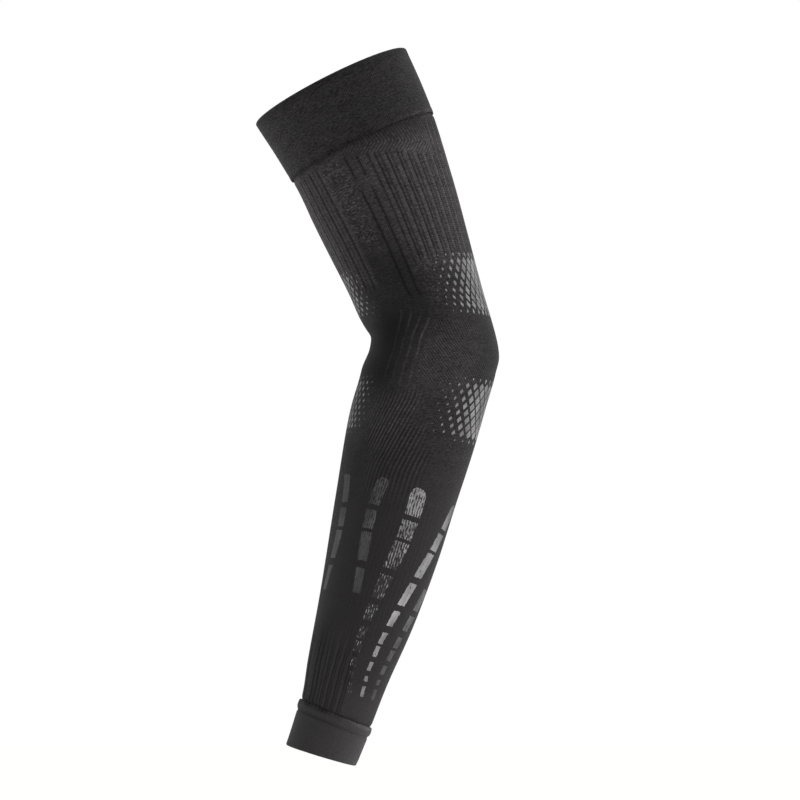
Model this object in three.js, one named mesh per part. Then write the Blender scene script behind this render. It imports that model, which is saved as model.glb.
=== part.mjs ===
// Knitted compression arm sleeve in its worn form, with the elbow a little bent.
// Millimetres, +Z up. The origin is the middle of the upper opening, just inside its rim. X
// runs from the crook side of the arm (front) to the elbow side (rear), and Y across the arm.
import * as THREE from "three";

// Cloth
const TUBE_WALL = 2.0; // knitted wall, measured at the crest of a rib
const TUCKED_WALL = 1.2; // the same wall where a seam presses its ribs flat
const SEAM_PINCH = 4; // length over which the ribs come up to full height beside a seam
const SEAM_LAP = 8; // length of tube tucked into the mouth of each band
const SEAM_GAP = 0.3; // clearance between the tube and the band around it
const BAND_PLY = 1.0; // one ply of a folded band
const BAND_WALL = 2.2; // the two plies of a band lying together
const TURNED_EDGE = 2.4; // length over which a band rounds into its fold
const BAND_COLUMNS = 40; // facets round a band

// Outline of the sleeve in the plane of the bend: where each section meets the front and
// the rear of the arm, half its depth across the arm, and the rings up to the next section.
const SECTIONS = [
  { at: "upper rim", frontX: -45.7, frontZ: -20.5, rearX: 44.2, rearZ: 24.8, halfDepth: 45.7, rings: 1 },
  { at: "upper seam", frontX: -23.7, frontZ: -55.4, rearX: 60.8, rearZ: -14.4, halfDepth: 43.7, rings: 1 },
  { at: "biceps", frontX: -11.1, frontZ: -80.7, rearX: 72.5, rearZ: -52.1, halfDepth: 42.5, rings: 1 },
  { at: "mid upper arm", frontX: 0.6, frontZ: -104.1, rearX: 81.7, rearZ: -86.5, halfDepth: 41, rings: 2 },
  { at: "above elbow", frontX: 12.3, frontZ: -127.5, rearX: 90.9, rearZ: -121.8, halfDepth: 40, rings: 3 },
  { at: "crook", frontX: 23.1, frontZ: -151.5, rearX: 100.2, rearZ: -156.3, halfDepth: 40, rings: 2 },
  { at: "below elbow", frontX: 18.3, frontZ: -169.5, rearX: 98.6, rearZ: -172.1, halfDepth: 41, rings: 2 },
  { at: "forearm bulge", frontX: 12.3, frontZ: -189.9, rearX: 91.9, rearZ: -195.0, halfDepth: 41.5, rings: 1 },
  { at: "upper forearm", frontX: 7.5, frontZ: -213.9, rearX: 83.9, rearZ: -221.4, halfDepth: 40, rings: 1 },
  { at: "mid forearm", frontX: 2.4, frontZ: -244.5, rearX: 74.3, rearZ: -251.4, halfDepth: 37, rings: 1 },
  { at: "lower forearm", frontX: -2.7, frontZ: -278.7, rearX: 63.5, rearZ: -285.0, halfDepth: 34, rings: 1 },
  { at: "above wrist", frontX: -8.4, frontZ: -312.9, rearX: 50.0, rearZ: -321.0, halfDepth: 31, rings: 1 },
  { at: "wrist", frontX: -14.1, frontZ: -343.5, rearX: 34.4, rearZ: -355.7, halfDepth: 28.5, rings: 1 },
  { at: "wrist seam", frontX: -18.0, frontZ: -366.2, rearX: 23.7, rearZ: -383.5, halfDepth: 27, rings: 1 },
  { at: "wrist rim", frontX: -26.5, frontZ: -393.7, rearX: 14.3, rearZ: -405.9, halfDepth: 26, rings: 0 },
];
const stationOf = (name) => SECTIONS.findIndex((section) => section.at === name);
const UPPER_SEAM = stationOf("upper seam");
const WRIST_SEAM = stationOf("wrist seam");

// The two folded bands: the sections that they run between, and the height and length of
// the roll along the seam.
const UPPER_BAND = { rim: stationOf("upper rim"), seam: UPPER_SEAM, rollHeight: 0.1, rollLength: 4 };
const WRIST_CUFF = { rim: stationOf("wrist rim"), seam: WRIST_SEAM, rollHeight: 0.8, rollLength: 6 };

// Knitted panels, the same on both sides of the arm, in degrees from the rear round to the
// front: the ribs in each, and how deep the furrows between them are along the arm.
const PANELS = [
  { name: "rear ribs", from: 0, to: 86, ribs: 11, upper: 0.8, elbow: 0, forearm: 0.2, wrist: 0.2 },
  { name: "side welts", from: 86, to: 110, ribs: 3, upper: 0.8, elbow: 0.8, forearm: 0.5, wrist: 0.5 },
  { name: "tuck panel", from: 110, to: 130, ribs: 2, upper: 0.2, elbow: 0.6, forearm: 0.4, wrist: 0.6 },
  { name: "front ribs", from: 130, to: 180, ribs: 10, upper: 0.8, elbow: 0.1, forearm: 0.3, wrist: 0.6 },
];
const FURROW_STATIONS = [
  { column: "upper", station: stationOf("above elbow") },
  { column: "elbow", station: stationOf("crook") },
  { column: "forearm", station: stationOf("upper forearm") },
  { column: "wrist", station: WRIST_SEAM },
];

// The ribs lie straight down the upper arm, then sweep towards the front below the elbow.
const RIB_SWEEP = { degrees: 18, from: stationOf("forearm bulge"), to: 8.6 };

// Soft folds pushed up where the cloth is bent, in stations along the arm and degrees round
// it: a crease is negative and the roll of cloth beside it is positive.
const FOLDS = [
  { name: "roll above crook", station: 4.5, along: 0.35, angle: 180, spread: 55, height: 1.0 },
  { name: "crook crease", station: 5.0, along: 0.3, angle: 180, spread: 50, height: -0.8 },
  { name: "roll below crook", station: 5.8, along: 0.45, angle: 180, spread: 55, height: 0.6 },
];

// Finishes
const BLACK_RIB_KNIT = { color: 0x2b2a2b, roughness: 0.92, metalness: 0 };
const BLACK_WELT_KNIT = { color: 0x272627, roughness: 0.95, metalness: 0 };

const outlineOf = (x, z) => new THREE.SplineCurve(SECTIONS.map((s) => new THREE.Vector2(s[x], s[z])));
const frontEdge = outlineOf("frontX", "frontZ");
const rearEdge = outlineOf("rearX", "rearZ");
const depthLine = outlineOf("halfDepth", "halfDepth");

// The ellipse of the sleeve's outer face at a station, counted in sections from the upper rim.
function sectionAt(station) {
  const share = station / (SECTIONS.length - 1);
  const front = frontEdge.getPoint(share);
  const rear = rearEdge.getPoint(share);
  return {
    centre: front.clone().add(rear).multiplyScalar(0.5),
    across: rear.clone().sub(front).normalize(),
    halfWidth: rear.distanceTo(front) / 2,
    halfDepth: depthLine.getPoint(share).x,
  };
}

// A point at an angle from the rear, offset outwards along the ellipse's normal.
function surfacePoint(station, degrees, offset) {
  const { centre, across, halfWidth, halfDepth } = sectionAt(station);
  const angle = THREE.MathUtils.degToRad(degrees);
  const normal = new THREE.Vector2(Math.cos(angle) / halfWidth, Math.sin(angle) / halfDepth).normalize();
  const wide = halfWidth * Math.cos(angle) + offset * normal.x;
  const deep = halfDepth * Math.sin(angle) + offset * normal.y;
  return new THREE.Vector3(centre.x + across.x * wide, deep, centre.y + across.y * wide);
}

// Length of cloth between two sections, along the middle of the arm.
function clothLength(from, to) {
  return sectionAt(from).centre.distanceTo(sectionAt(to).centre);
}

// A closed wall turned as a straight tube and then laid on the arm. The profile's rows and
// the columns round the arm are both in order, and place() gives the point of each pair.
function laidWall(profile, columns, place) {
  const outline = [...profile, profile[0]];
  const turned = outline.map(({ station, offset }) => new THREE.Vector2(offset, -station));
  const wall = new THREE.LatheGeometry(turned, columns.length);
  const points = wall.getAttribute("position");
  for (let i = 0; i < points.count; i += 1) {
    const column = columns[Math.floor(i / outline.length) % columns.length];
    const { x, y, z } = place(outline[i % outline.length], column);
    points.setXYZ(i, x, y, z);
  }
  wall.computeVertexNormals();
  return wall;
}

// Depth of a panel's furrows at a station, run evenly between the stations that state it.
function furrowDepth(panel, station) {
  const marks = FURROW_STATIONS.map((mark) => mark.station);
  const inside = THREE.MathUtils.clamp(station, marks[0], marks.at(-1));
  const next = Math.max(1, marks.findIndex((mark) => mark >= inside));
  const share = (inside - marks[next - 1]) / (marks[next] - marks[next - 1]);
  const [before, after] = FURROW_STATIONS.slice(next - 1, next + 1).map((mark) => panel[mark.column]);
  return THREE.MathUtils.lerp(before, after, share);
}

// Columns of the ribbed face, from the rear round both sides: a furrow and a crest a rib.
function ribColumns() {
  const side = PANELS.flatMap((panel) => {
    const halfPitch = (panel.to - panel.from) / panel.ribs / 2;
    return Array.from({ length: 2 * panel.ribs }, (_, half) => ({
      degrees: panel.from + half * halfPitch,
      furrow: half % 2 === 0,
      panel,
    }));
  });
  const frontLine = { degrees: 180, furrow: true, panel: PANELS.at(-1) };
  const otherSide = side.slice(1).reverse().map((column) => ({ ...column, degrees: 360 - column.degrees }));
  return [...side, frontLine, ...otherSide];
}

// Where a column of knit that starts at this angle lies at a station.
function sweptDegrees(station, degrees) {
  const swept = THREE.MathUtils.smoothstep(station, RIB_SWEEP.from, RIB_SWEEP.to);
  return degrees + RIB_SWEEP.degrees * swept * Math.sin(THREE.MathUtils.degToRad(degrees));
}

// Height of the folds at a place on the sleeve.
function foldHeight(station, degrees) {
  return FOLDS.reduce((height, fold) => {
    const along = (station - fold.station) / fold.along;
    const round = (degrees - fold.angle) / fold.spread;
    return height + fold.height * Math.exp(-along * along - round * round);
  }, 0);
}

// The knitted tube: a ribbed outer face and a plain inner face, its ends pressed flat where
// they are tucked into the bands.
function armTube() {
  const upperStep = 1 / clothLength(UPPER_BAND.rim, UPPER_SEAM);
  const wristStep = 1 / clothLength(WRIST_SEAM, WRIST_CUFF.rim);
  const ribStart = UPPER_SEAM + SEAM_PINCH * upperStep;
  const ribEnd = WRIST_SEAM - SEAM_PINCH * wristStep;
  const between = SECTIONS.slice(UPPER_SEAM, WRIST_SEAM).flatMap(({ rings }, i) =>
    Array.from({ length: rings }, (_, ring) => UPPER_SEAM + i + ring / rings),
  );
  const upperEnd = [UPPER_SEAM - SEAM_LAP * upperStep, UPPER_SEAM, ribStart];
  const wristEnd = [ribEnd, WRIST_SEAM, WRIST_SEAM + SEAM_LAP * wristStep];
  const stations = [...upperEnd, ...between.slice(1), ...wristEnd];
  const outer = stations.map((station) => ({
    station,
    offset: station < ribStart || station > ribEnd ? TUCKED_WALL - TUBE_WALL : 0,
    ribbed: station >= ribStart && station <= ribEnd,
  }));
  const inner = stations.map((station) => ({ station, offset: -TUBE_WALL, ribbed: false }));
  return laidWall([...outer.reverse(), ...inner], ribColumns(), (row, column) => {
    const furrow = row.ribbed && column.furrow ? furrowDepth(column.panel, row.station) : 0;
    const degrees = sweptDegrees(row.station, column.degrees);
    return surfacePoint(row.station, degrees, row.offset + foldHeight(row.station, degrees) - furrow);
  });
}

// A folded band: two plies from the turned rim, parted at the seam to take the tube's edge.
// The profile is in millimetres from the rim and offset from the tube's outer face.
function foldedBand({ rim, seam, rollHeight, rollLength }) {
  const length = clothLength(rim, seam);
  const mouthOuter = TUCKED_WALL - TUBE_WALL + SEAM_GAP;
  const mouthInner = -TUBE_WALL - SEAM_GAP;
  const outside = mouthOuter + BAND_PLY;
  const inside = outside - BAND_WALL;
  const mouthEnd = length - SEAM_LAP - SEAM_GAP;
  const rows = [
    [length, outside],
    [length - rollLength / 4, outside + rollHeight],
    [length - rollLength * (3 / 4), outside + rollHeight],
    [length - rollLength, outside],
    [TURNED_EDGE, outside],
    [TURNED_EDGE / 4, outside - BAND_WALL / 5],
    [0, outside - BAND_WALL / 2],
    [TURNED_EDGE / 4, inside + BAND_WALL / 5],
    [TURNED_EDGE, inside],
    [mouthEnd - SEAM_LAP, inside],
    [mouthEnd, mouthInner - BAND_PLY],
    [length, mouthInner - BAND_PLY],
    [length, mouthInner],
    [mouthEnd, mouthInner],
    [mouthEnd, mouthOuter],
    [length, mouthOuter],
  ];
  const profile = rows.map(([fromRim, offset]) => ({
    station: THREE.MathUtils.lerp(rim, seam, fromRim / length),
    offset,
  }));
  const columns = Array.from({ length: BAND_COLUMNS }, (_, i) => (360 * i) / BAND_COLUMNS);
  const ordered = seam > rim ? profile : profile.reverse();
  return laidWall(ordered, columns, (row, degrees) => surfacePoint(row.station, degrees, row.offset));
}

function piece(name, geometry, finish) {
  const mesh = new THREE.Mesh(geometry, new THREE.MeshStandardMaterial(finish));
  mesh.name = name;
  return mesh;
}

const sleeve = new THREE.Group();
sleeve.name = "arm_sleeve";
sleeve.add(
  piece("arm_tube", armTube(), BLACK_RIB_KNIT),
  piece("upper_band", foldedBand(UPPER_BAND), BLACK_WELT_KNIT),
  piece("wrist_cuff", foldedBand(WRIST_CUFF), BLACK_WELT_KNIT),
);

export default sleeve;
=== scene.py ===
"""Knitted compression arm sleeve in its worn form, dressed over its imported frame.

A ribbed tube runs between a folded upper band and a folded wrist cuff. The tables below are
in millimetres, in degrees round the arm from the rear (0) to the front (180), and in
millimetres along the sleeve from the origin, which is in the middle of the upper opening.
Both sides of the sleeve are alike.
"""

import logging
import math
from dataclasses import dataclass, field
from enum import Enum

import bpy
import numpy as np
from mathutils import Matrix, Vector


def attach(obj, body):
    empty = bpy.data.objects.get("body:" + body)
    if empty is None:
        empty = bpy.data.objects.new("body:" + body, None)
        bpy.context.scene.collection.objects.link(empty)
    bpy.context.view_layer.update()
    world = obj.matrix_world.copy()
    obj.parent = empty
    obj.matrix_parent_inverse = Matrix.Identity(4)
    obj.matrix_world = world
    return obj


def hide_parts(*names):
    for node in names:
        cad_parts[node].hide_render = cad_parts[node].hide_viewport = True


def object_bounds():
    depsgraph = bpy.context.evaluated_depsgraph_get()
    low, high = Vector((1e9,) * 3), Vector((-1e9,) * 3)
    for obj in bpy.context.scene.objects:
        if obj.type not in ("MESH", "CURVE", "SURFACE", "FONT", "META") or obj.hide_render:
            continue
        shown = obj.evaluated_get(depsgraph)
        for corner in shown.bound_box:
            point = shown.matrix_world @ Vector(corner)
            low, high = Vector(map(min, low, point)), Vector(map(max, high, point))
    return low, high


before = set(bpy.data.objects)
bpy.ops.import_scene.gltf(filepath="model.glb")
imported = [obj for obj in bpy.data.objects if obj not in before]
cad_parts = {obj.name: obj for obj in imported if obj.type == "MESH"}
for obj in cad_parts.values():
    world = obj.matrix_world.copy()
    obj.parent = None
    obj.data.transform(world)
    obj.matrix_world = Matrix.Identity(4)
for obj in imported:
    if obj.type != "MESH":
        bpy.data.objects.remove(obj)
CAD_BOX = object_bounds()

LOG = logging.getLogger("arm_sleeve")
MM = 0.001
BODY = "root"
KNIT_MAP = "knit"
FAR_OUTSIDE = 99.0
Socket = bpy.types.NodeSocket
Tree = bpy.types.NodeTree


def smoothstep(low: float | np.ndarray, high: float | np.ndarray, value: np.ndarray) -> np.ndarray:
    """Rises smoothly from 0 at low to 1 at high."""
    share = np.clip((value - low) / (high - low), 0.0, 1.0)
    return share * share * (3.0 - 2.0 * share)


def within(value: np.ndarray, start: float, end: float | np.ndarray, fade: float) -> np.ndarray:
    """Is 1 between two limits and fades out at each of them.

    Args:
        value: The values to weigh.
        start: Lower limit, where the weight is a half.
        end: Upper limit, where the weight is a half.
        fade: Length of the fade at each limit.

    Returns:
        The weight of each value, from 0 to 1.
    """
    rise = smoothstep(start - fade / 2, start + fade / 2, value)
    return rise * (1.0 - smoothstep(end - fade / 2, end + fade / 2, value))


def fold_angle(degrees: np.ndarray) -> np.ndarray:
    """Folds angles right round the arm to 0 to 180 on either side."""
    return np.minimum(np.abs(degrees), np.abs(360 - degrees))


def share_of(run: np.ndarray) -> np.ndarray:
    """Gives how far each value lies from the first one to the last one, from 0 to 1."""
    return (run - run[0]) / (run[-1] - run[0])


@dataclass(frozen=True)
class Section:
    """Where one section of the sleeve meets the front and the rear of the arm, in mm."""

    name: str
    front_x: float
    front_z: float
    rear_x: float
    rear_z: float
    half_depth: float


SECTIONS = (
    Section("upper rim", -45.7, -20.5, 44.2, 24.8, 45.7),
    Section("upper seam", -23.7, -55.4, 60.8, -14.4, 43.7),
    Section("biceps", -11.1, -80.7, 72.5, -52.1, 42.5),
    Section("mid upper arm", 0.6, -104.1, 81.7, -86.5, 41.0),
    Section("above elbow", 12.3, -127.5, 90.9, -121.8, 40.0),
    Section("crook", 23.1, -151.5, 100.2, -156.3, 40.0),
    Section("below elbow", 18.3, -169.5, 98.6, -172.1, 41.0),
    Section("forearm bulge", 12.3, -189.9, 91.9, -195.0, 41.5),
    Section("upper forearm", 7.5, -213.9, 83.9, -221.4, 40.0),
    Section("mid forearm", 2.4, -244.5, 74.3, -251.4, 37.0),
    Section("lower forearm", -2.7, -278.7, 63.5, -285.0, 34.0),
    Section("above wrist", -8.4, -312.9, 50.0, -321.0, 31.0),
    Section("wrist", -14.1, -343.5, 34.4, -355.7, 28.5),
    Section("wrist seam", -18.0, -366.2, 23.7, -383.5, 27.0),
    Section("wrist rim", -26.5, -393.7, 14.3, -405.9, 26.0),
)


class FineKnit(Enum):
    """Knits whose small relief is drawn by the finish, and painted light and shade, by their mask's name.
    """

    TUCK = "tuck_knit"
    TWILL = "twill_knit"
    FAN = "fan_ribs"
    RIDGE = "elbow_ridges"
    CHEVRON = "chevron_knit"
    # Painted light and shade, not a knit: darker over the crook and the forearm, paler on the upper arm.
    DENSE = "knit_painted_light_and_shade"


class BandEnd(Enum):
    """The two folded bands, by the node of the frame that each one dresses."""

    UPPER = "upper_band"
    WRIST = "wrist_cuff"


@dataclass(frozen=True)
class RibPanel:
    """Ribs of even width between two angles, with the phase and the depth of their furrows."""

    start: float
    end: float
    ribs: int
    furrows: tuple[tuple[float, float], ...]


@dataclass(frozen=True)
class Zone:
    """Part of the tube between two lengths and two angles, whose strength fades at its limits."""

    from_along: float
    to_along: float
    from_degrees: float
    to_degrees: float
    strength: float = 1.0
    fade_along: float = 12.0
    fade_degrees: float = 4.0

    def weight(self, along: np.ndarray, folded: np.ndarray) -> np.ndarray:
        """Weighs points of the tube.

        Args:
            along: Lengths along the sleeve, in mm.
            folded: Angles of the wales, from 0 to 180 on either side.

        Returns:
            The zone's strength at each point, which is 0 outside it.
        """
        lengthwise = within(along, self.from_along, self.to_along, self.fade_along)
        round_arm = within(folded, self.from_degrees, self.to_degrees, self.fade_degrees)
        return self.strength * lengthwise * round_arm


@dataclass(frozen=True)
class Fold:
    """A roll (positive) or a crease (negative) where the cloth is bent."""

    along: float
    length: float
    degrees: float
    spread: float
    height: float


@dataclass(frozen=True)
class Wave:
    """A slow wave of worn cloth: its height, and the run along and round that turns its phase."""

    height: float
    along: float
    degrees: float


RIB_PANELS = (
    RibPanel(0, 88, 11, ((0.25, 1.0), (0.875, 0.8))),
    RibPanel(88, 108, 1, ((0.335, 1.0), (0.765, 1.0))),
    RibPanel(126, 180, 6, ((0.5, 1.0), (1.0, 0.45))),
)
# Where the ribs stand up from their furrows. The strength is the furrows' depth in mm.
RIB_ZONES = (
    Zone(44, 119, -1, 88, 0.63, 6, 1),
    Zone(44, 62, 88, 108, 0.6, 6, 1),
    Zone(69, 140, 88, 108, 0.65, 6, 1),
    Zone(44, 132, 126, 181, 0.68, 6, 1),
    Zone(352, 404, 54, 136, 0.5, 24, 1),
)
WAVY_RIBS = Zone(344, 394, 44, 132, 1.0, 12, 10)
# Knit zones. The painted light and shade zones paint the knit darker where their strength is
# positive, as painted shade over the crook, the elbow's rear and the forearm, and paler where it
# is negative, as painted light over the upper arm and at the wrist's rear.
KNIT_ZONES = {
    FineKnit.TUCK: (Zone(44, 104, 108, 126), Zone(112, 150, 62, 92, 0.6)),
    FineKnit.TWILL: (Zone(148, 194, 10, 91),),
    FineKnit.RIDGE: (Zone(146, 192, 91, 124),),
    FineKnit.FAN: (
        Zone(200, 220, 79, 121, 0.8, 14, 12),
        Zone(220, 234, 64, 112, 1.0, 14, 12),
        Zone(234, 262, 50, 96, 1.0, 14, 12),
        Zone(264, 346, 30, 130, 0.4),
    ),
    # Painted light and shade on the knit.
    FineKnit.DENSE: (
        Zone(49, 121, -60, 80, -1.45, 16, 48),
        Zone(44, 112, 70, 124, -0.3, 20, 20),
        Zone(44, 130, 126, 260, -0.65),
        Zone(40, 126, 156, 260, -1.0, 20, 24),
        Zone(150, 196, -60, 40, 0.25, 20, 40),
        Zone(94, 162, 88, 144, 0.52, 44, 28),
        Zone(154, 198, 110, 260, 0.86, 32, 40),
        Zone(164, 202, 40, 92, -0.34, 24, 20),
        Zone(184, 270, 104, 260, 0.2, 24, 24),
        Zone(196, 350, 142, 260, 0.25, 20, 36),
        Zone(230, 350, 60, 260, 0.38, 30, 60),
        Zone(346, 420, 90, 260, 0.6, 30, 30),
        Zone(378, 404, 18, 64, -0.28, 12, 16),
    ),
}
# Lengths along the sleeve, and how many degrees the wales at the sides have turned by there.
WALE_DRIFT = (
    (44, 5), (85, 0), (120, -3), (137, -4), (148, -11), (158, -1),
    (167, 9), (180, 9), (203, 8), (247, 28), (330, 37),
)
FOLDS = {
    "roll above crook": Fold(150.5, 11.0, 180, 55, 1.0),
    "crook crease": Fold(163.5, 4.0, 180, 50, -1.0),
    "roll below crook": Fold(179.8, 9.0, 180, 55, 0.6),
    "upper tip crease": Fold(160.0, 2.2, 42, 12, -0.45),
    "lower tip crease": Fold(170.0, 2.0, 36, 12, -0.4),
    "under tip crease": Fold(180.0, 1.8, 40, 12, -0.35),
}
WAVES = (Wave(0.12, 17, 23), Wave(0.1, 11, -31))


@dataclass
class ArmForm:
    """The worn form that all pieces lie on: ellipses strung along a bent arm."""

    sections: tuple[Section, ...]
    samples: int = 2801

    def __post_init__(self) -> None:
        """Tabulates the sections and measures the middle line from the origin."""
        self.table = np.array(
            [(s.front_x, s.front_z, s.rear_x, s.rear_z, s.half_depth) for s in self.sections]
        )
        self.stations = np.linspace(0.0, len(self.sections) - 1.0, self.samples)
        outline = self.outline(self.stations)
        middle = (outline[:, 0:2] + outline[:, 2:4]) / 2
        steps = np.linalg.norm(np.diff(middle, axis=0), axis=1)
        lengths = np.concatenate([[0.0], np.cumsum(steps)])
        self.lengths = lengths - lengths[np.argmin(np.linalg.norm(middle, axis=1))]

    def along(self, name: str) -> float:
        """Gives the length of sleeve from the origin to a named section, in mm."""
        station = [section.name for section in self.sections].index(name)
        return float(np.interp(station, self.stations, self.lengths))

    def outline(self, station: np.ndarray) -> np.ndarray:
        """Runs one smooth curve through the sections.

        Args:
            station: Places along the sleeve, counted in sections from the upper rim.

        Returns:
            Front x and z, rear x and z, and half depth at each station, in mm.
        """
        last = len(self.table) - 1
        base = np.clip(np.floor(station).astype(int), 0, last - 1)
        share = (station - base)[..., None]
        before, here, there, after = (
            self.table[np.clip(base + step, 0, last)] for step in (-1, 0, 1, 2)
        )
        leave = (there - before) / 2
        arrive = (after - here) / 2
        cubic = 2 * (here - there) + leave + arrive
        square = 3 * (there - here) - 2 * leave - arrive
        return here + share * (leave + share * (square + share * cubic))

    def radius(self, along: np.ndarray) -> np.ndarray:
        """Measures how far the sleeve's face lies from its middle line.

        Args:
            along: Lengths along the sleeve, in mm.

        Returns:
            The mean radius at each length, in mm.
        """
        outline = self.outline(np.interp(along, self.lengths, self.stations))
        half_width = np.linalg.norm(outline[..., 2:4] - outline[..., 0:2], axis=-1) / 2
        return np.sqrt((half_width**2 + outline[..., 4] ** 2) / 2)

    def place(self, along: np.ndarray, degrees: np.ndarray, offset: np.ndarray) -> np.ndarray:
        """Lays points of cloth on the arm.

        Args:
            along: Lengths along the sleeve from the origin, in mm.
            degrees: Angles round the arm from the rear.
            offset: Heights over the tube's outer face, in mm.

        Returns:
            The points in the frame, in metres.
        """
        along, degrees, offset = np.broadcast_arrays(along, degrees, offset)
        outline = self.outline(np.interp(along, self.lengths, self.stations))
        front, rear, half_depth = outline[..., 0:2], outline[..., 2:4], outline[..., 4]
        half_width = np.linalg.norm(rear - front, axis=-1) / 2
        across = (rear - front) / (2 * half_width[..., None])
        angle = np.radians(degrees)
        normal = np.stack([np.cos(angle) / half_width, np.sin(angle) / half_depth], axis=-1)
        normal /= np.linalg.norm(normal, axis=-1, keepdims=True)
        wide = half_width * np.cos(angle) + offset * normal[..., 0]
        deep = half_depth * np.sin(angle) + offset * normal[..., 1]
        middle = (front + rear) / 2
        x = middle[..., 0] + across[..., 0] * wide
        z = middle[..., 1] + across[..., 1] * wide
        return np.stack([x, deep, z], axis=-1) * MM


def read_all(items: bpy.types.bpy_prop_collection, name: str, kind: type, width: int = 1) -> np.ndarray:
    """Reads one property of all items of a mesh.

    Args:
        items: The mesh's vertices, edges or corners.
        name: The property.
        kind: The type of its numbers.
        width: How many numbers each item has.

    Returns:
        One row of numbers for each item.
    """
    values = np.empty(len(items) * width, dtype=kind)
    items.foreach_get(name, values)
    return values.reshape(-1, width)


@dataclass
class KnittedPanel:
    """A flat knitted panel, row by row from its upper edge, that is wrapped round the arm."""

    name: str
    points: np.ndarray
    wale: np.ndarray
    course: np.ndarray
    masks: dict[str, np.ndarray] = field(default_factory=dict)
    weld: float = 0.01

    def build(self) -> bpy.types.Object:
        """Adds a flat grid, wraps it round the arm and closes its long edge.

        Returns:
            The wrapped panel, with its knit map and its masks.
        """
        rows, columns = self.points.shape[:2]
        bpy.ops.object.select_all(action="DESELECT")
        bpy.ops.mesh.primitive_grid_add(x_subdivisions=columns - 1, y_subdivisions=rows - 1, size=2)
        panel = bpy.context.object
        panel.name = self.name
        mesh = panel.data
        mesh.name = self.name
        flat = read_all(mesh.vertices, "co", float, 3)
        column = np.rint((flat[:, 0] + 1) / 2 * (columns - 1)).astype(int)
        row = np.rint((1 - flat[:, 1]) / 2 * (rows - 1)).astype(int)
        mesh.vertices.foreach_set("co", self.points[row, column].ravel())
        self.write_map(mesh, row, column)
        for name, mask in self.masks.items():
            values = np.broadcast_to(mask, (rows, columns))[row, column]
            mesh.attributes.new(name, "FLOAT", "POINT").data.foreach_set("value", values.ravel())
        mesh.update()
        bpy.ops.object.mode_set(mode="EDIT")
        bpy.ops.mesh.select_all(action="SELECT")
        bpy.ops.mesh.remove_doubles(threshold=self.weld * MM)
        bpy.ops.object.mode_set(mode="OBJECT")
        return panel

    def write_map(self, mesh: bpy.types.Mesh, row: np.ndarray, column: np.ndarray) -> None:
        """Writes the share of the wales and of the courses at each corner as a UV map.

        Args:
            mesh: The flat grid's mesh.
            row: Row of each vertex.
            column: Column of each vertex.
        """
        corner = read_all(mesh.loops, "vertex_index", int)[:, 0]
        layer = mesh.uv_layers.active
        layer.name = KNIT_MAP
        shape = self.points.shape[:2]
        wale = np.broadcast_to(self.wale, shape)[row, column][corner]
        course = np.broadcast_to(self.course, shape)[row, column][corner]
        layer.uv.foreach_set("vector", np.stack([wale, course], axis=-1).ravel())


@dataclass(frozen=True)
class DashRow:
    """One row of printed dashes: where it starts, its length and its width, in mm."""

    start: float
    length: float
    width: float

    @property
    def end(self) -> float:
        """Gives the length along the sleeve where the row ends."""
        return self.start + self.length


@dataclass(frozen=True)
class DashColumn:
    """One column of printed dashes: its angle at the print's stations, its rows and its ink.

    Tone is how pale the ink is drawn: the one silver-grey ink is painted paler or darker from
    column to column, as painted light and reflection. Hold is how much of it has stayed on. Each
    is given at the upper end and at the wrist.
    """

    degrees: tuple[float, float, float, float]
    rows: tuple[int, int]
    width: float
    rounded: bool
    tone: tuple[float, float]
    hold: tuple[float, float]


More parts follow.
